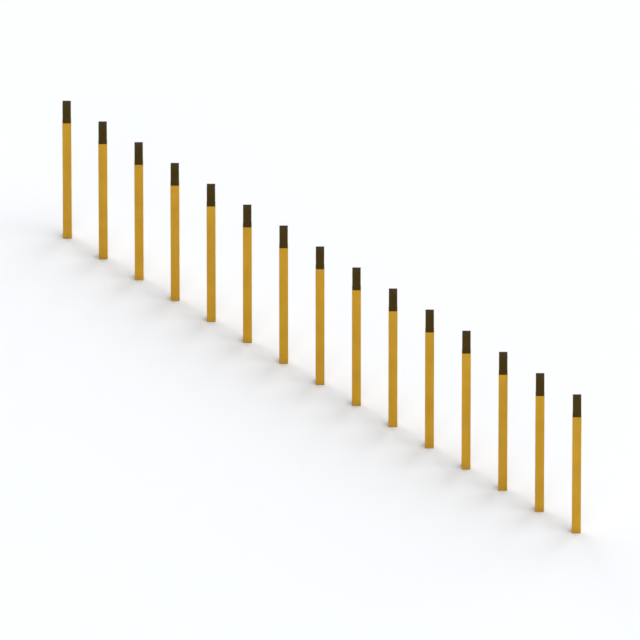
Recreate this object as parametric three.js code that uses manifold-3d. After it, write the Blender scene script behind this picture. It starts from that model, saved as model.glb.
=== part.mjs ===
// Weave poles: a straight row of square poles that dogs weave through.
// Each pole is a painted square tube with a dark moulded top, slipped over the stub of a ground anchor
// and held there by one clamp screw low on its rear face. Millimetres, +Z up, the ground at z = 0,
// the row along X and the middle pole at the origin.
import * as THREE from "three";
import { mergeVertices } from "three/addons/utils/BufferGeometryUtils.js";
import Module from "manifold-3d";

// The row
const poleCount = 15;
const polePitch = 346; // centre to centre
const poleHeight = 1100; // ground to the eaves of the top cap
const poleTurn = Math.PI / 4; // the faces stand at 45 degrees to the row

// Pole tube
const tubeSide = 60;
const tubeWall = 3;
const tubeCorner = 2.5; // outside corner radius

// Top cap: a hollow moulding with a low four-sided roof and a plug that presses into the tube
const capShown = 149; // from the tube's rim to the eaves
const capInset = 1.7; // how far each cap face stands behind the tube's face
const capWall = 3.5;
const roofPitch = THREE.MathUtils.degToRad(10);
const plugLength = 70;
const plugTaper = 0.6; // how much narrower the plug is at its lower end, on each side

// Ground anchor: stub tube, support collar and buried plate, welded together
const stubHeight = 180; // above the ground
const stubWall = 4;
const stubRounding = 1; // how much rounder the stub's corners are than the tube's bore
const anchorDepth = 450; // ground to the top of the plate
const collarThickness = 8;
const collarProud = 0.5; // how far the collar stands above the ground
const plateSide = 180;
const plateThickness = 8;
const plateCorner = 12;
const drainLedge = 6; // how much of the plate shows inside the stub around the drain hole

// Clamp screw
const screwHeight = 70; // above the ground
const screwDiameter = 8;
const headDiameter = 14;
const headHeight = 4.4;
const headRim = 1.3; // height of the head's upright edge
const crownDiameter = 10; // where the head's dome gives way to the key socket's rim
const domeRise = 3.7; // from the head's underside to that circle
const socketDiameter = 5;
const socketDepth = 2.6;

// Clearances
const seatGap = 0.3; // between faces that rest on or press into each other
const slideGap = 2; // between the tube's bore and the stub, on each side
const screwGap = 0.4; // between the screw and its hole, on each side

const sharpestCorner = 1; // the smallest inside corner radius

const cornerSegments = 2; // per rounded corner
const roundSegments = 8; // per full circle
const overlap = 1; // how far joined solids run into each other, and cutters run past what they cut

const wasm = await Module();
wasm.setup();

function solid(geometry) {
  const bare = geometry.index ? geometry.toNonIndexed() : geometry.clone();
  bare.deleteAttribute("normal");
  bare.deleteAttribute("uv");
  const merged = mergeVertices(bare, 1e-4);
  return new wasm.Manifold(
    new wasm.Mesh({
      numProp: 3,
      vertProperties: merged.attributes.position.array,
      triVerts: new Uint32Array(merged.index.array),
    }),
  );
}

function geometryOf(manifold) {
  const { vertProperties, triVerts } = manifold.getMesh();
  const geometry = new THREE.BufferGeometry();
  geometry.setAttribute("position", new THREE.BufferAttribute(vertProperties, 3));
  geometry.setIndex(new THREE.BufferAttribute(triVerts, 1));
  geometry.computeVertexNormals();
  return geometry;
}

// A square outline with rounded corners, centred on the axis.
function squareShape(side, radius, Kind = THREE.Shape) {
  const reach = side / 2 - radius;
  const shape = new Kind();
  shape.absarc(reach, reach, radius, 0, Math.PI / 2);
  shape.absarc(-reach, reach, radius, Math.PI / 2, Math.PI);
  shape.absarc(-reach, -reach, radius, Math.PI, 1.5 * Math.PI);
  shape.absarc(reach, -reach, radius, 1.5 * Math.PI, 2 * Math.PI);
  shape.closePath();
  return shape;
}

function prism(shape, low, high) {
  // An arc is drawn in twice as many straight pieces as curveSegments says.
  const options = { depth: high - low, bevelEnabled: false, curveSegments: cornerSegments / 2 };
  return new THREE.ExtrudeGeometry(shape, options).translate(0, 0, low);
}

function squareTube(side, radius, wall, low, high) {
  const shape = squareShape(side, radius);
  shape.holes.push(squareShape(side - 2 * wall, innerRadius(radius, wall), THREE.Path));
  return prism(shape, low, high);
}

function innerRadius(radius, wall) {
  return Math.max(radius - wall, sharpestCorner);
}

// A cutter for a round hole, whose flat sides stand at the stated diameter.
function holeCutter(diameter, low, high) {
  const radius = diameter / 2 / Math.cos(Math.PI / roundSegments);
  const cylinder = new THREE.CylinderGeometry(radius, radius, high - low, roundSegments);
  return cylinder.rotateX(Math.PI / 2).translate(0, 0, (low + high) / 2);
}

// Sizes that follow from the ones above
const boreSide = tubeSide - 2 * tubeWall;
const boreCorner = innerRadius(tubeCorner, tubeWall);
const stubSide = boreSide - 2 * slideGap;
const stubCorner = boreCorner + stubRounding;
const drainHole = stubSide - 2 * stubWall - 2 * drainLedge;
const tubeLow = collarProud + seatGap;
const tubeHigh = poleHeight - capShown;
const capSide = tubeSide - 2 * capInset;
const plugSide = boreSide - 2 * seatGap;
const screwHoleDiameter = screwDiameter + 2 * screwGap;

function poleTube() {
  const tube = solid(squareTube(tubeSide, tubeCorner, tubeWall, tubeLow, tubeHigh));
  // The screw hole goes through the rear wall only, which faces +Y before the pole is turned.
  const hole = holeCutter(screwHoleDiameter, -tubeWall - overlap, overlap)
    .rotateX(-Math.PI / 2)
    .translate(0, tubeSide / 2, screwHeight);
  return geometryOf(tube.subtract(solid(hole)));
}

// A square pyramid whose four slopes pass through the eaves.
function roofSolid(low) {
  const reach = capSide; // wider than the cap, so that the slopes cut all of it
  const slope = Math.tan(roofPitch);
  const apex = poleHeight + (capSide / 2) * slope;
  const roof = new THREE.ConeGeometry(reach * Math.SQRT2, reach * slope, 4)
    .rotateX(Math.PI / 2)
    .rotateZ(Math.PI / 4)
    .translate(0, 0, apex - (reach * slope) / 2);
  const walls = new THREE.BoxGeometry(2 * reach, 2 * reach, apex - reach * slope - low + overlap);
  walls.translate(0, 0, (apex - reach * slope + low + overlap) / 2);
  return solid(roof).add(solid(walls));
}

function plugSolid(low, high) {
  const taper = (plugSide - 2 * plugTaper) / plugSide;
  const plug = prism(squareShape(plugSide, boreCorner), low, high);
  const points = plug.attributes.position;
  for (let i = 0; i < points.count; i++) {
    if (points.getZ(i) > (low + high) / 2) continue;
    points.setX(i, points.getX(i) * taper);
    points.setY(i, points.getY(i) * taper);
  }
  return solid(plug);
}

function topCap() {
  const low = tubeHigh + seatGap;
  const sides = prism(squareShape(capSide, tubeCorner), low, poleHeight + capSide);
  const shell = solid(sides).intersect(roofSolid(low - overlap));
  const plug = plugSolid(tubeHigh - plugLength, low + overlap);
  const hollowSide = plugSide - 2 * plugTaper - 2 * capWall;
  const hollow = squareShape(hollowSide, innerRadius(boreCorner, capWall));
  const cavity = solid(prism(hollow, tubeHigh - plugLength - overlap, poleHeight - capWall));
  return geometryOf(shell.add(plug).subtract(cavity));
}

function groundAnchor() {
  const stub = solid(squareTube(stubSide, stubCorner, stubWall, -anchorDepth - overlap, stubHeight));
  const ringWall = (tubeSide - stubSide) / 2 + overlap;
  const collarLow = collarProud - collarThickness;
  const collar = solid(squareTube(tubeSide, tubeCorner, ringWall, collarLow, collarProud));
  const plateShape = squareShape(plateSide, plateCorner);
  let plate = solid(prism(plateShape, -anchorDepth - plateThickness, -anchorDepth));
  const cutLow = -anchorDepth - plateThickness - overlap;
  const cutHigh = -anchorDepth + overlap;
  plate = plate.subtract(solid(holeCutter(drainHole, cutLow, cutHigh)));
  return geometryOf(stub.add(collar).add(plate));
}

// A button-head screw whose tip clamps the stub, turned about Y with the tube's rear face at y = 0.
function clampScrew() {
  const tip = stubSide / 2 - tubeSide / 2 + seatGap;
  const seat = seatGap;
  const crown = seat + headHeight;
  const profile = [
    [0, tip],
    [screwDiameter / 2, tip],
    [screwDiameter / 2, seat],
    [headDiameter / 2, seat],
    [headDiameter / 2, seat + headRim],
    [crownDiameter / 2, seat + domeRise],
    [socketDiameter / 2, crown],
    [socketDiameter / 2, crown - socketDepth],
    [0, crown - socketDepth],
  ].map(([x, y]) => new THREE.Vector2(x, y));
  return new THREE.LatheGeometry(profile, roundSegments).translate(0, tubeSide / 2, screwHeight);
}

const materials = {
  polePaint: new THREE.MeshStandardMaterial({ color: 0xc8962e, roughness: 0.45, metalness: 0 }),
  capPlastic: new THREE.MeshStandardMaterial({ color: 0x45381a, roughness: 0.6, metalness: 0 }),
  galvanised: new THREE.MeshStandardMaterial({ color: 0x9aa0a6, roughness: 0.5, metalness: 0.9 }),
  stainless: new THREE.MeshStandardMaterial({ color: 0xb8bcc0, roughness: 0.3, metalness: 1 }),
};

const pieces = [
  ["pole_tube", poleTube(), materials.polePaint],
  ["top_cap", topCap(), materials.capPlastic],
  ["ground_anchor", groundAnchor(), materials.galvanised],
  ["clamp_screw", clampScrew(), materials.stainless],
];

const weavePoles = new THREE.Group();
weavePoles.name = "weave_poles";
for (let i = 0; i < poleCount; i++) {
  const station = new THREE.Group();
  station.position.x = (i - (poleCount - 1) / 2) * polePitch;
  station.rotation.z = poleTurn;
  for (const [name, geometry, material] of pieces) {
    const mesh = new THREE.Mesh(geometry, material);
    mesh.name = `${name}_${String(i + 1).padStart(2, "0")}`;
    station.add(mesh);
  }
  weavePoles.add(station);
}

export default weavePoles;
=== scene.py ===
"""Weave poles: finished meshes, materials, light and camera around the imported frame.

A straight row of square poles. Each is a painted tube with a dark moulded cap, standing over the stub of
a buried ground anchor and held by one clamp screw low on its rear face. Metres, the ground at z = 0.
"""

import math

import bmesh
import bpy
from mathutils import Matrix, Vector


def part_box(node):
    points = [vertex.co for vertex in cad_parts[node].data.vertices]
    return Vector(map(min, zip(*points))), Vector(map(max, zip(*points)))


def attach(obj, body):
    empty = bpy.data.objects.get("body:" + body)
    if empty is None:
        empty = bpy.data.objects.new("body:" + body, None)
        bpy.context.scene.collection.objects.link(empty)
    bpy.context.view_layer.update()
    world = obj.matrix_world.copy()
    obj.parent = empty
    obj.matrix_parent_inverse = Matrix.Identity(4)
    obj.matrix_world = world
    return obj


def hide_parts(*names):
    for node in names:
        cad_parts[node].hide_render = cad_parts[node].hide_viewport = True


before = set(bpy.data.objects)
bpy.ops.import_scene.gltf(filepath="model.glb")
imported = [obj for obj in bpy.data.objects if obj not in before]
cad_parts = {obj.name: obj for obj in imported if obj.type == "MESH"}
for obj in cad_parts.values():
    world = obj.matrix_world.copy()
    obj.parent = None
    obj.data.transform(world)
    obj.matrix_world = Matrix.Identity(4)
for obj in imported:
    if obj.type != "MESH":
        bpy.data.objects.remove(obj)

MM = 0.001
POLES = sum(name.startswith("pole_tube_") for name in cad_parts)
POLE_TURN = math.radians(45)  # the faces stand at 45 degrees to the row

# Corner radii and walls, which a node's box doesn't give
TUBE_CORNER = 2.5 * MM
TUBE_WALL = 3 * MM
LEAST_CORNER = 1 * MM  # of a bore or hollow
CAP_WALL = 3.5 * MM
ROOF_PITCH = math.radians(10)
PLUG_TAPER = 0.6 * MM
STUB_ROUNDING = 1 * MM  # how much rounder the stub's corners are than the tube's bore
STUB_WALL = 4 * MM
STUB_GAP = 2 * MM
SEAT_GAP = 0.3 * MM
COLLAR_THICKNESS = 8 * MM
PLATE_THICKNESS = 8 * MM
PLATE_CORNER = 12 * MM
DRAIN_LEDGE = 6 * MM
SCREW_RADIUS = 4 * MM
SCREW_HOLE_RADIUS = 4.4 * MM
HEAD_RADIUS = 7 * MM
HEAD_HEIGHT = 4.4 * MM
HEAD_RIM = 1.3 * MM
SOCKET_ACROSS = 5 * MM
SOCKET_DEPTH = 2.6 * MM
SOCKET_CONE = 0.6 * MM  # how far the drill's tip went past the socket's floor
THREAD_PITCH = 1.25 * MM
THREAD_DEPTH = 0.6 * MM
THREAD_RELIEF = 0.6 * MM  # plain neck between the thread and the head
CROWN_SHARE = 0.72  # the flat crown's radius as a share of the socket's width

# Edge rounding
TUBE_EDGE = 0.8 * MM
CAP_EDGE = 0.8 * MM
EAVE_EDGE = 2 * MM
PLATE_EDGE = 1 * MM
HEAD_EDGE = 0.3 * MM
HOLE_EASE = 0.4 * MM
HOLLOW_FILLET = 2 * MM  # inside the top of the cap
WELD = 5 * MM
WELD_PROUD = 0.6 * MM  # how far the bead stands out from the stub where it begins
WELD_END = 1.4 * WELD  # above the plate, where the stub is bare again
COLLAR_WELD = 0.6 * WELD  # the bead under the collar
WEAR_REACH = 12 * MM  # how far wear at a rim fades along the wall

# Fineness of the meshes
CORNER_STEPS = 8  # faces round each corner of a square ring
EDGE_STEPS = 4  # faces round each softened edge
THREAD_STEPS = 28  # faces along the screw's thread
DOME_STEPS = 8  # faces from the screw head's rim to its crown
FLAT_STOPS = (0.14, 0.5, 0.86)  # where a ring has points between two corners, as shares of the flat side
ROOF_STOPS = (0.75, 0.5, 0.25, 0.08)  # rings on the cap's roof, as shares of its side
ROOF_TIP = 0.04  # the peak is blunted to the slope's height at this share of the cap's side
SHARPEST = 0.2 * MM  # the least corner radius of a ring
NEARLY_ROUND = 0.05 * MM  # a ring this close to round keeps its points apart
CUT_PAST = 2 * MM  # how far a cutter runs past what it cuts
SHARP = math.radians(40)  # faces that meet at more than this have a hard edge

# Heights above the ground between which marks on the paint and the zinc fade
SCUFFS_BEGIN = (0.08, 0.20)  # from none to all
SCUFFS_END = (0.75, 0.50)  # from none to all, going down
SPLASH_AND_SHADE_TOP = 0.05  # of the soil on the paint, which is also painted shade where the pole meets the ground
SOIL_TOP = 0.04  # of the soil on the zinc

# Colours in linear light
PAINT_DEEP = (0.518, 0.272, 0.0050)
PAINT_PALE = (0.574, 0.307, 0.0075)
PAINT_STREAK = (0.42, 0.225, 0.018)
PAINT_SCUFF = (0.36, 0.25, 0.09)
PAINT_CHIP = (0.27, 0.27, 0.26)
# the paint's soil colour, also used as painted shade at the pole's foot
PAINT_SOIL_AND_SHADE = (0.21, 0.14, 0.07)
CAP_DEEP = (0.048, 0.029, 0.0015)
CAP_PALE = (0.057, 0.034, 0.0026)
CAP_FLOW = (0.038, 0.023, 0.0026)
# the roof's colour: some dirt, and painted shade that keeps the roof no lighter than the walls
CAP_ROOF_DIRT_AND_SHADE = (0.030, 0.020, 0.006)
CAP_RUBBED = (0.13, 0.10, 0.055)
ZINC_DARK = (0.33, 0.35, 0.37)
ZINC_BRIGHT = (0.50, 0.52, 0.54)
ZINC_DULL = (0.40, 0.40, 0.39)
ZINC_SOIL = (0.17, 0.125, 0.08)
STEEL_DARK = (0.50, 0.50, 0.49)
STEEL_PALE = (0.60, 0.60, 0.59)
STEEL_BRIGHT = (0.70, 0.70, 0.69)


# ---------------------------------------------------------------- rings and lofts


class Ring:
    """A square ring with rounded corners about the Z axis. wear is how exposed its flat sides are, from 0
    to 1; its corners are always fully exposed."""

    def __init__(self, side, corner, z, wear=0.0):
        self.points, self.wear = [], []
        corner = min(max(corner, SHARPEST), side / 2 - NEARLY_ROUND)
        reach = side / 2 - corner
        for quarter in range(4):
            turn = Matrix.Rotation(quarter * math.pi / 2, 3, "Z")
            for step in range(CORNER_STEPS + 1):
                angle = step / CORNER_STEPS * math.pi / 2
                at = Vector((reach + corner * math.cos(angle), reach + corner * math.sin(angle), z))
                self.points.append(turn @ at)
                self.wear.append(1.0)
            for stop in FLAT_STOPS:
                at = Vector((reach - 2 * reach * stop, reach + corner, z))
                self.points.append(turn @ at)
                self.wear.append(wear)


def arc(side, corner, z, radius, start, end, wear=0.0):
    """Rings that follow a rounded edge, from angle start to end in degrees. 0 faces outwards and 90 up."""
    rings = []
    for step in range(EDGE_STEPS + 1):
        angle = math.radians(start + (end - start) * step / EDGE_STEPS)
        out = radius * math.cos(angle)
        rings.append(Ring(side + 2 * out, corner + out, z + radius * math.sin(angle), wear))
    return rings


def outer_edge(side, corner, z, radius, top, wear=0.8):
    """The rounded edge where an outside wall meets a face that looks up, or down if top is false."""
    lift, angles = (-radius, (0, 90)) if top else (radius, (-90, 0))
    return arc(side - 2 * radius, corner - radius, z + lift, radius, *angles, wear)


def inner_edge(side, corner, z, radius, top, wear=0.5):
    """The same for a bore's wall, taken from the face into the bore at the top and out of it below."""
    lift, angles = (-radius, (90, 180)) if top else (radius, (180, 270))
    return arc(side + 2 * radius, corner + radius, z + lift, radius, *angles, wear)


def loft(rings, closed, ends=(None, None)):
    """A mesh through rings in order. A closed loft joins its last ring to its first, and an open one is
    capped by fans to the points in ends."""
    bm = bmesh.new()
    layer = bm.verts.layers.float.new("wear")
    loops = []
    for ring in rings:
        loop = [bm.verts.new(p) for p in ring.points]
        for vert, wear in zip(loop, ring.wear):
            vert[layer] = wear
        loops.append(loop)
    pairs = list(zip(loops, loops[1:]))
    if closed:
        pairs.append((loops[-1], loops[0]))
    for low, high in pairs:
        for i in range(len(low)):
            j = (i + 1) % len(low)
            bm.faces.new((low[i], low[j], high[j], high[i]))
    for loop, centre in ((loops[0], ends[0]), (loops[-1], ends[1])):
        if centre is None:
            continue
        tip = bm.verts.new(centre)
        for i in range(len(loop)):
            bm.faces.new((loop[i], loop[(i + 1) % len(loop)], tip))
    bmesh.ops.recalc_face_normals(bm, faces=bm.faces)
    mesh = bpy.data.meshes.new("loft")
    bm.to_mesh(mesh)
    bm.free()
    return mesh


def side_of(node, corner):
    """The side of a turned square section, from the width of its node's box across the corners."""
    low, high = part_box(node)
    return 2 * (((high.x - low.x) / 2 - corner) / math.sqrt(2) + corner)


# ---------------------------------------------------------------- the four pieces, about the Z axis

tube_low, tube_high = (corner.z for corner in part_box("pole_tube_01"))
tube_side = side_of("pole_tube_01", TUBE_CORNER)
bore_side = tube_side - 2 * TUBE_WALL
bore_corner = max(TUBE_CORNER - TUBE_WALL, LEAST_CORNER)
stub_side = bore_side - 2 * STUB_GAP
stub_corner = bore_corner + STUB_ROUNDING
collar_top = tube_low - SEAT_GAP
cap_low, cap_high = (corner.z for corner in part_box("top_cap_01"))
cap_side = side_of("top_cap_01", TUBE_CORNER)
cap_eave = cap_high - cap_side / 2 * math.tan(ROOF_PITCH)
screw_low, screw_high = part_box("clamp_screw_01")
screw_z = (screw_low.z + screw_high.z) / 2


def tube_mesh():
    rings = outer_edge(tube_side, TUBE_CORNER, tube_low, TUBE_EDGE, top=False)
    rings.append(Ring(tube_side, TUBE_CORNER, tube_low + WEAR_REACH))
    rings.append(Ring(tube_side, TUBE_CORNER, tube_high - WEAR_REACH))
    rings += outer_edge(tube_side, TUBE_CORNER, tube_high, TUBE_EDGE, top=True)
    rings += inner_edge(bore_side, bore_corner, tube_high, TUBE_EDGE, top=True)
    rings += inner_edge(bore_side, bore_corner, tube_low, TUBE_EDGE, top=False)
    return loft(rings, closed=True)


def roof_height(side):
    """The height at which the cap's roof has narrowed to the given side."""
    return cap_eave + (cap_side - side) / 2 * math.tan(ROOF_PITCH)


def cap_mesh():
    plug = bore_side - 2 * SEAT_GAP
    plug_low = plug - 2 * PLUG_TAPER
    hollow = plug_low - 2 * CAP_WALL
    hollow_top = cap_eave - CAP_WALL
    fillet = HOLLOW_FILLET
    rings = arc(hollow - 2 * fillet, LEAST_CORNER, hollow_top - fillet, fillet, 90, 0)
    rings += inner_edge(hollow, LEAST_CORNER, cap_low, CAP_EDGE, top=False)
    rings += outer_edge(plug_low, bore_corner, cap_low, CAP_EDGE, top=False)
    underside = tube_high + SEAT_GAP
    rings.append(Ring(plug, bore_corner, tube_high - CAP_EDGE))
    rings.append(Ring(plug, bore_corner, underside))
    rings += outer_edge(cap_side, TUBE_CORNER, underside, CAP_EDGE, top=False)
    rings.append(Ring(cap_side, TUBE_CORNER, underside + WEAR_REACH))
    rings.append(Ring(cap_side, TUBE_CORNER, cap_eave - WEAR_REACH))
    # The eave is rounded from the upright wall to the slope of the roof
    centre = cap_eave + EAVE_EDGE * (math.tan(ROOF_PITCH) - 1 / math.cos(ROOF_PITCH))
    up = 90 - math.degrees(ROOF_PITCH)
    rings += arc(cap_side - 2 * EAVE_EDGE, TUBE_CORNER - EAVE_EDGE, centre, EAVE_EDGE, 0, up, wear=0.8)
    for share in ROOF_STOPS:
        rings.append(Ring(cap_side * share, TUBE_CORNER * share, roof_height(cap_side * share)))
    peak = roof_height(cap_side * ROOF_TIP)
    return loft(rings, closed=False, ends=(Vector((0, 0, hollow_top)), Vector((0, 0, peak))))


def anchor_mesh():
    low, high = (corner.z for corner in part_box("ground_anchor_01"))
    plate = side_of("ground_anchor_01", PLATE_CORNER)
    plate_top = low + PLATE_THICKNESS
    stub_bore = stub_side - 2 * STUB_WALL
    drain = stub_bore - 2 * DRAIN_LEDGE
    collar_low = collar_top - COLLAR_THICKNESS
    rings = [Ring(drain, drain / 2, plate_top), Ring(drain, drain / 2, low)]
    rings += outer_edge(plate, PLATE_CORNER, low, PLATE_EDGE, top=False)
    rings += outer_edge(plate, PLATE_CORNER, plate_top, PLATE_EDGE, top=True)
    rings += arc(stub_side + WELD_PROUD, stub_corner, plate_top, WELD, 5, 85)
    rings.append(Ring(stub_side, stub_corner, plate_top + WELD_END))
    rings.append(Ring(stub_side, stub_corner, collar_low - COLLAR_WELD))
    rings += outer_edge(tube_side, TUBE_CORNER, collar_low, TUBE_EDGE, top=False)
    rings += outer_edge(tube_side, TUBE_CORNER, collar_top, TUBE_EDGE, top=True)
    rings.append(Ring(stub_side, stub_corner, collar_top))
    rings += outer_edge(stub_side, stub_corner, high, TUBE_EDGE, top=True)
    rings += inner_edge(stub_bore, LEAST_CORNER, high, TUBE_EDGE, top=True)
    rings.append(Ring(stub_bore, LEAST_CORNER, plate_top))
    return loft(rings, closed=True)


class Turned(Ring):
    """A ring of the screw about its own axis: radius is a function of the angle."""

    STEPS = 48

    def __init__(self, radius, z, wear=0.0):
        angles = [2 * math.pi * step / self.STEPS for step in range(self.STEPS)]
        self.points = [Vector((radius(a) * math.cos(a), radius(a) * math.sin(a), z)) for a in angles]
        self.wear = [wear] * self.STEPS


def plain(value):
    """The same radius at every angle."""
    return lambda a: value


def hexagon(across):
    """The radius of a hexagon at each angle, from its distance across flats."""
    return lambda a: across / 2 / math.cos((a + math.pi / 6) % (math.pi / 3) - math.pi / 6)


def thread(z, tip):
    """The radius of the screw's thread at each angle, at height z above a thread that begins at tip."""
    def radius(a):
        wave = abs(((z - tip) / THREAD_PITCH - a / (2 * math.pi)) % 1 - 0.5) * 2
        return SCREW_RADIUS - THREAD_DEPTH * wave
    return radius


def screw_mesh():
    """A button-head socket screw about Z, with the tube's face at z = 0 and its head above."""
    seat, tip = SEAT_GAP, stub_side / 2 - tube_side / 2 + SEAT_GAP
    shank = seat - THREAD_RELIEF
    rings = []
    for step in range(THREAD_STEPS + 1):
        z = tip + (shank - tip) * step / THREAD_STEPS
        rings.append(Turned(thread(z, tip), z))
    rings.append(Turned(plain(SCREW_RADIUS - THREAD_DEPTH), seat))
    rings.append(Turned(plain(HEAD_RADIUS - HEAD_EDGE), seat))
    rings.append(Turned(plain(HEAD_RADIUS), seat + HEAD_EDGE, wear=1))
    rings.append(Turned(plain(HEAD_RADIUS), seat + HEAD_RIM, wear=1))
    crown = seat + HEAD_HEIGHT
    flat = SOCKET_ACROSS * CROWN_SHARE
    for step in range(1, DOME_STEPS + 1):
        angle = math.pi / 2 * step / DOME_STEPS
        radius = flat + (HEAD_RADIUS - flat) * math.cos(angle)
        z = seat + HEAD_RIM + (HEAD_HEIGHT - HEAD_RIM) * math.sin(angle)
        rings.append(Turned(plain(radius), z))
    key = hexagon(SOCKET_ACROSS)
    rings.append(Turned(hexagon(SOCKET_ACROSS + 2 * HEAD_EDGE), crown, wear=1))
    rings.append(Turned(key, crown - HEAD_EDGE))
    rings.append(Turned(key, crown - SOCKET_DEPTH))
    bottom = Vector((0, 0, crown - SOCKET_DEPTH - SOCKET_CONE))
    return loft(rings, closed=False, ends=(Vector((0, 0, tip)), bottom))


def lay_on_rear_face(mesh):
    """Turns a mesh made about Z so that its axis points out of the tube's rear face."""
    mesh.transform(Matrix.Translation((0, tube_side / 2, screw_z)) @ Matrix.Rotation(-math.pi / 2, 4, "X"))
    return mesh


def drilled(mesh):
    """The tube with its screw hole cut through the rear wall, the hole's mouth slightly eased."""
    mouth = SCREW_HOLE_RADIUS + 2 * HOLE_EASE
    profile = [
        (SCREW_HOLE_RADIUS, -TUBE_WALL - CUT_PAST),
        (SCREW_HOLE_RADIUS, -HOLE_EASE),
        (mouth, HOLE_EASE),
        (mouth, CUT_PAST),
    ]
    rings = [Turned(plain(radius), z) for radius, z in profile]
    ends = (Vector((0, 0, profile[0][1])), Vector((0, 0, profile[-1][1])))
    plug = loft(rings, closed=False, ends=ends)
    # Turned by half a step, so that none of its points falls on the edge down the middle of the face
    plug.transform(Matrix.Rotation(math.pi / Turned.STEPS, 4, "Z"))
    cutter = bpy.data.objects.new("cutter", lay_on_rear_face(plug))
    tube = bpy.data.objects.new("drilled", mesh)
    for obj in (cutter, tube):
        bpy.context.scene.collection.objects.link(obj)
    cut = tube.modifiers.new("hole", "BOOLEAN")
    cut.operation, cut.object, cut.solver = "DIFFERENCE", cutter, "EXACT"
    bpy.context.view_layer.update()
    result = bpy.data.meshes.new_from_object(tube.evaluated_get(bpy.context.evaluated_depsgraph_get()))
    bpy.data.objects.remove(tube)
    bpy.data.objects.remove(cutter)
    return result


# ---------------------------------------------------------------- materials


class Finish:
    """A material's node tree, with short calls to add and join nodes."""

    def __init__(self, name, **uniform):
        self.material = bpy.data.materials.new(name)
        self.material.use_nodes = True
        self.tree = self.material.node_tree
        self.shader = self.tree.nodes["Principled BSDF"]
        for socket, value in uniform.items():
            self.shader.inputs[socket.replace("_", " ")].default_value = value
        self.where = self.tree.nodes.new("ShaderNodeTexCoord").outputs["Object"]
        split = self.tree.nodes.new("ShaderNodeSeparateXYZ")
        self.join(self.where, split.inputs[0])
        self.height = split.outputs["Z"]

    def join(self, source, target):
        self.tree.links.new(source, target)

    def feed(self, socket, value):
        if isinstance(value, bpy.types.NodeSocket):
            self.join(value, socket)
        else:
            socket.default_value = value

    def noise(self, scale, detail=3.0, stretch=(1, 1, 1)):
        mapping = self.tree.nodes.new("ShaderNodeMapping")
        mapping.inputs["Scale"].default_value = stretch
        self.join(self.where, mapping.inputs["Vector"])
        node = self.tree.nodes.new("ShaderNodeTexNoise")
        node.inputs["Scale"].default_value = scale
        node.inputs["Detail"].default_value = detail
        self.join(mapping.outputs[0], node.inputs["Vector"])
        return node.outputs["Fac"]

    def cells(self, scale):
        node = self.tree.nodes.new("ShaderNodeTexVoronoi")
        node.inputs["Scale"].default_value = scale
        self.join(self.where, node.inputs["Vector"])
        split = self.tree.nodes.new("ShaderNodeSeparateColor")
        self.join(node.outputs["Color"], split.inputs[0])
        return split.outputs[0]

    def attribute(self, name):
        node = self.tree.nodes.new("ShaderNodeAttribute")
        node.attribute_name = name
        return node.outputs["Fac"]

    def fit(self, value, low, high, new_low=0.0, new_high=1.0):
        node = self.tree.nodes.new("ShaderNodeMapRange")
        for socket, given in zip(node.inputs, (value, low, high, new_low, new_high)):
            self.feed(socket, given)
        return node.outputs[0]

    def math(self, operation, a, b):
        node = self.tree.nodes.new("ShaderNodeMath")
        node.operation = operation
        self.feed(node.inputs[0], a)
        self.feed(node.inputs[1], b)
        return node.outputs[0]

    def mix(self, share, a, b):
        node = self.tree.nodes.new("ShaderNodeMix")
        node.data_type = "RGBA"
        self.feed(node.inputs["Factor"], share)
        # Sockets of the same name come in sets for each data type; these are the colour ones
        for socket, value in ((node.inputs[6], a), (node.inputs[7], b)):
            self.feed(socket, value if isinstance(value, bpy.types.NodeSocket) else (*value, 1.0))
        return node.outputs[2]

    def bump(self, height, distance, strength=1.0, under=None):
        node = self.tree.nodes.new("ShaderNodeBump")
        node.inputs["Distance"].default_value = distance
        node.inputs["Strength"].default_value = strength
        self.join(height, node.inputs["Height"])
        if under is not None:
            self.join(under, node.inputs["Normal"])
        return node.outputs[0]

    def done(self, color, roughness, normal):
        self.join(color, self.shader.inputs["Base Color"])
        self.join(roughness, self.shader.inputs["Roughness"])
        self.join(normal, self.shader.inputs["Normal"])
        return self.material


def paint():
    """Golden-yellow powder coat: orange peel, faint mottling, rain streaks, scuffs at dog height, chipped
    edges, and soil at the foot that is partly painted shade where the pole meets the ground."""
    f = Finish("pole_paint", Specular_IOR_Level=0.25)
    mottle = f.fit(f.noise(6, 4), 0.35, 0.65)
    color = f.mix(mottle, PAINT_DEEP, PAINT_PALE)
    streak = f.fit(f.noise(38, 4, (1, 1, 0.04)), 0.5, 0.72, 0, 0.28)
    color = f.mix(streak, color, PAINT_STREAK)
    band = f.math("MULTIPLY", f.fit(f.height, *SCUFFS_BEGIN), f.fit(f.height, *SCUFFS_END))
    patches = f.fit(f.noise(8, 2), 0.46, 0.6)
    marks = f.fit(f.noise(60, 3, (1, 1, 6)), 0.58, 0.67, 0, 0.45)
    scuff = f.math("MULTIPLY", f.math("MULTIPLY", band, patches), marks)
    color = f.mix(scuff, color, PAINT_SCUFF)
    chip = f.math("MULTIPLY", f.attribute("wear"), f.fit(f.noise(150, 4), 0.66, 0.68))
    color = f.mix(chip, color, PAINT_CHIP)
    # Soil at the foot, which also stands as painted shade where the pole meets the ground
    foot = f.fit(f.height, 0.0, SPLASH_AND_SHADE_TOP, 1.0, 0.0)
    splash_and_shade = f.fit(f.noise(75, 5), 0.42, 0.66, 0.0, 0.6)
    soil = f.math("MULTIPLY", foot, splash_and_shade)
    color = f.mix(soil, color, PAINT_SOIL_AND_SHADE)
    dull = f.math("MAXIMUM", soil, scuff)
    rough = f.math("ADD", f.fit(f.noise(24, 4), 0.3, 0.7, 0.36, 0.5), f.math("MULTIPLY", dull, 0.4))
    peel = f.bump(f.noise(420, 2), 0.5 * MM, 0.6)
    normal = f.bump(f.math("SUBTRACT", soil, chip), 0.2 * MM, 0.7, under=peel)
    return f.done(color, rough, normal)


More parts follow.
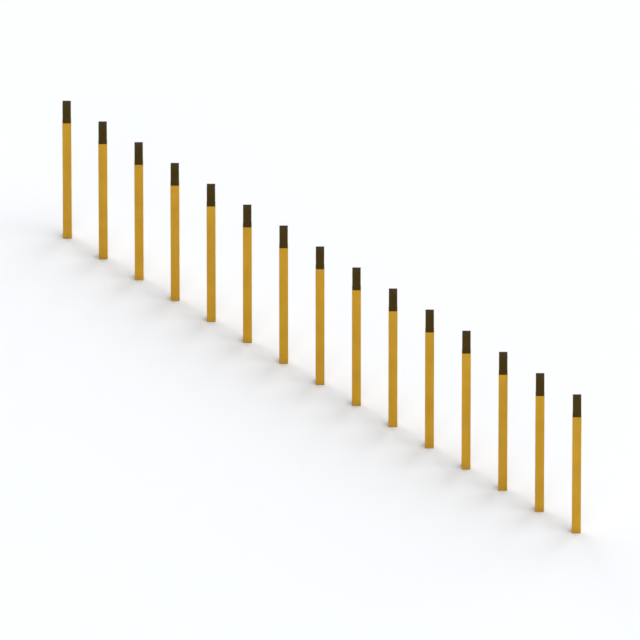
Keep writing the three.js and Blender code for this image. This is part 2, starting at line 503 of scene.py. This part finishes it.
def cap_plastic():
    """Dark brown moulded plastic: spark-eroded grain, flow marks, rubbed edges, and dirt with painted shade
    darkening the roof.
    """
    f = Finish("cap_plastic", Specular_IOR_Level=0.08)
    mottle = f.fit(f.noise(9, 4), 0.35, 0.65)
    color = f.mix(mottle, CAP_DEEP, CAP_PALE)
    flow = f.fit(f.noise(26, 3, (1, 1, 0.12)), 0.5, 0.72, 0, 0.3)
    color = f.mix(flow, color, CAP_FLOW)
    # Painted shade with some dirt: the whole roof is darkened so that it looks no lighter than the walls
    roof = f.fit(f.height, cap_eave - 1 * MM, cap_eave)
    roof_dirt_and_shade = f.math("MULTIPLY", roof, f.fit(f.noise(50, 4), 0.3, 0.6, 0.4, 0.8))
    color = f.mix(roof_dirt_and_shade, color, CAP_ROOF_DIRT_AND_SHADE)
    rub = f.math("MULTIPLY", f.attribute("wear"), f.fit(f.noise(120, 4), 0.52, 0.66, 0, 0.4))
    color = f.mix(rub, color, CAP_RUBBED)
    rough = f.math("ADD", f.fit(f.noise(40, 3), 0.3, 0.7, 0.42, 0.6), f.math("MULTIPLY", rub, 0.2))
    fine = f.bump(f.noise(1500, 2), 0.12 * MM, 0.7)
    grain = f.bump(f.noise(620, 3), 0.25 * MM, 0.6, under=fine)
    normal = f.bump(f.noise(16, 2), 0.8 * MM, 0.2, under=grain)
    return f.done(color, rough, normal)


def galvanised():
    """Hot-dip zinc: crystal spangle, dull streaks and, up to just above the ground, a thin film of soil."""
    f = Finish("anchor_steel", Metallic=0.85)
    spangle = f.cells(150)
    color = f.mix(spangle, ZINC_DARK, ZINC_BRIGHT)
    dull = f.fit(f.noise(24, 4, (1, 1, 0.25)), 0.45, 0.7, 0, 0.6)
    color = f.mix(dull, color, ZINC_DULL)
    buried = f.fit(f.height, 0.0, SOIL_TOP, 1.0, 0.0)
    film = f.fit(f.noise(14, 5), 0.3, 0.7, 0.1, 0.45)
    crumbs = f.fit(f.noise(170, 5), 0.5, 0.7, 0.0, 0.4)
    soil = f.math("MULTIPLY", buried, f.math("ADD", film, crumbs))
    color = f.mix(soil, color, ZINC_SOIL)
    rough = f.math("ADD", f.fit(spangle, 0, 1, 0.34, 0.5), f.math("MULTIPLY", soil, 0.4))
    fine = f.bump(f.noise(420, 3), 0.12 * MM, 0.5)
    crusted = f.bump(soil, 0.3 * MM, 0.6, under=fine)
    normal = f.bump(spangle, 0.04 * MM, 0.4, under=crusted)
    return f.done(color, rough, normal)


def stainless():
    """Plain stainless steel: faint tarnish and handling marks, brighter where its edges are rubbed."""
    f = Finish("screw_steel", Metallic=1.0)
    tarnish = f.fit(f.noise(260, 4), 0.35, 0.65)
    color = f.mix(tarnish, STEEL_DARK, STEEL_PALE)
    bright = f.math("MULTIPLY", f.attribute("wear"), f.fit(f.noise(500, 2), 0.4, 0.6, 0.2, 0.8))
    color = f.mix(bright, color, STEEL_BRIGHT)
    rough = f.fit(f.noise(340, 3), 0.3, 0.7, 0.24, 0.4)
    normal = f.bump(f.noise(900, 2), 0.02 * MM, 0.4)
    return f.done(color, rough, normal)


# ---------------------------------------------------------------- the row

KINDS = {
    # node: (name of the finished piece, mesh, material, slot)
    "pole_tube": ("painted_tube", drilled(tube_mesh()), paint(), "pole_paint"),
    "top_cap": ("moulded_cap", cap_mesh(), cap_plastic(), "cap_plastic"),
    "clamp_screw": ("button_screw", lay_on_rear_face(screw_mesh()), stainless(), "screw_steel"),
    "ground_anchor": ("welded_anchor", anchor_mesh(), galvanised(), "anchor_steel"),
}


def place(kind, number):
    """One finished piece in the row's frame, riding on its node's body in its place."""
    name, mesh, material, slot = KINDS[kind]
    node = f"{kind}_{number}"
    low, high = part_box(f"ground_anchor_{number}")
    spot = Matrix.Translation(((low.x + high.x) / 2, (low.y + high.y) / 2, 0))
    own = mesh.copy()
    own.transform(spot @ Matrix.Rotation(POLE_TURN, 4, "Z"))
    own.materials.clear()
    own.materials.append(material)
    own.shade_smooth()
    own.set_sharp_from_angle(angle=SHARP)
    piece = bpy.data.objects.new(f"{name}_{number}", own)
    bpy.context.scene.collection.objects.link(piece)
    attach(piece, "ground_anchors" if kind == "ground_anchor" else f"pole_{number}")
    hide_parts(node)


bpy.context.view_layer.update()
for index in range(POLES):
    for kind in KINDS:
        place(kind, f"{index + 1:02d}")


# ---------------------------------------------------------------- stage

FLOOR_REACH = 400.0  # from the origin to each side of the floor
FLOOR_TONE = 0.86  # share of the light that the floor throws back
FLOOR_COLOR = (0.840, FLOOR_TONE, 0.888, 1)  # cool, against the warm light that the paint throws on it
SUN_WIDTH = 50  # degrees
FRAME_WIDTH = 4.309  # metres of the row's middle plane that the picture spans
LENS = 1600.0  # mm, so long that the view is nearly parallel
SENSOR = 36.0
AIM_UP = 0.420  # from the middle pole's foot to the picture's centre, along the camera's up
TOWARDS_CAMERA = Vector((1, -1, 1)).normalized()  # a true isometric view


def floor():
    mesh = bpy.data.meshes.new("floor")
    r = FLOOR_REACH
    mesh.from_pydata([(-r, -r, 0), (r, -r, 0), (r, r, 0), (-r, r, 0)], [], [(0, 1, 2, 3)])
    material = bpy.data.materials.new("floor")
    material.use_nodes = True
    shader = material.node_tree.nodes["Principled BSDF"]
    shader.inputs["Base Color"].default_value = FLOOR_COLOR
    shader.inputs["Roughness"].default_value = 0.9
    shader.inputs["Specular IOR Level"].default_value = 0.0
    mesh.materials.append(material)
    obj = bpy.data.objects.new("floor", mesh)
    bpy.context.scene.collection.objects.link(obj)


def sun(name, compass, elevation, share):
    """A soft distant light. compass is in degrees from +Y towards +X, and share is the part of the open
    floor's brightness that this light gives."""
    light = bpy.data.lights.new(name, "SUN")
    turn, rise = math.radians(compass), math.radians(elevation)
    light.energy = share * math.pi / (FLOOR_TONE * math.sin(rise))
    light.angle = math.radians(SUN_WIDTH)
    obj = bpy.data.objects.new(name, light)
    obj.rotation_mode = "QUATERNION"
    towards = Vector((math.sin(turn) * math.cos(rise), math.cos(turn) * math.cos(rise), math.sin(rise)))
    obj.rotation_quaternion = towards.to_track_quat("Z", "Y")
    bpy.context.scene.collection.objects.link(obj)


def sky(share):
    """Dim light from all round, in front of a backdrop as pale as the floor."""
    world = bpy.data.worlds.new("studio")
    world.use_nodes = True
    nodes, links = world.node_tree.nodes, world.node_tree.links
    glow = nodes["Background"]
    glow.inputs["Color"].default_value = (1, 1, 1, 1)
    glow.inputs["Strength"].default_value = share / FLOOR_TONE
    backdrop = nodes.new("ShaderNodeBackground")
    backdrop.inputs["Color"].default_value = (1, 1, 1, 1)
    seen = nodes.new("ShaderNodeMixShader")
    links.new(nodes.new("ShaderNodeLightPath").outputs["Is Camera Ray"], seen.inputs["Fac"])
    links.new(glow.outputs[0], seen.inputs[1])
    links.new(backdrop.outputs[0], seen.inputs[2])
    links.new(seen.outputs[0], nodes["World Output"].inputs["Surface"])
    bpy.context.scene.world = world


def camera():
    data = bpy.data.cameras.new("camera")
    data.lens, data.sensor_width = LENS, SENSOR
    distance = FRAME_WIDTH * LENS / SENSOR
    data.clip_start, data.clip_end = distance * 0.5, distance * 2
    obj = bpy.data.objects.new("camera", data)
    turn = TOWARDS_CAMERA.to_track_quat("Z", "Y")
    aim = turn @ Vector((0, AIM_UP, 0))
    obj.rotation_mode = "QUATERNION"
    obj.rotation_quaternion = turn
    obj.location = aim + TOWARDS_CAMERA * distance
    bpy.context.scene.collection.objects.link(obj)
    bpy.context.scene.camera = obj


floor()
sun("right", 75, 50, 0.36)
sun("front", 140, 25, 0.13)
sun("left", 275, 25, 0.12)
sun("high_left", 305, 60, 0.19)
sun("behind", 5, 25, 0.17)
sky(0.04)
camera()
bpy.context.scene.view_settings.view_transform = "Standard"
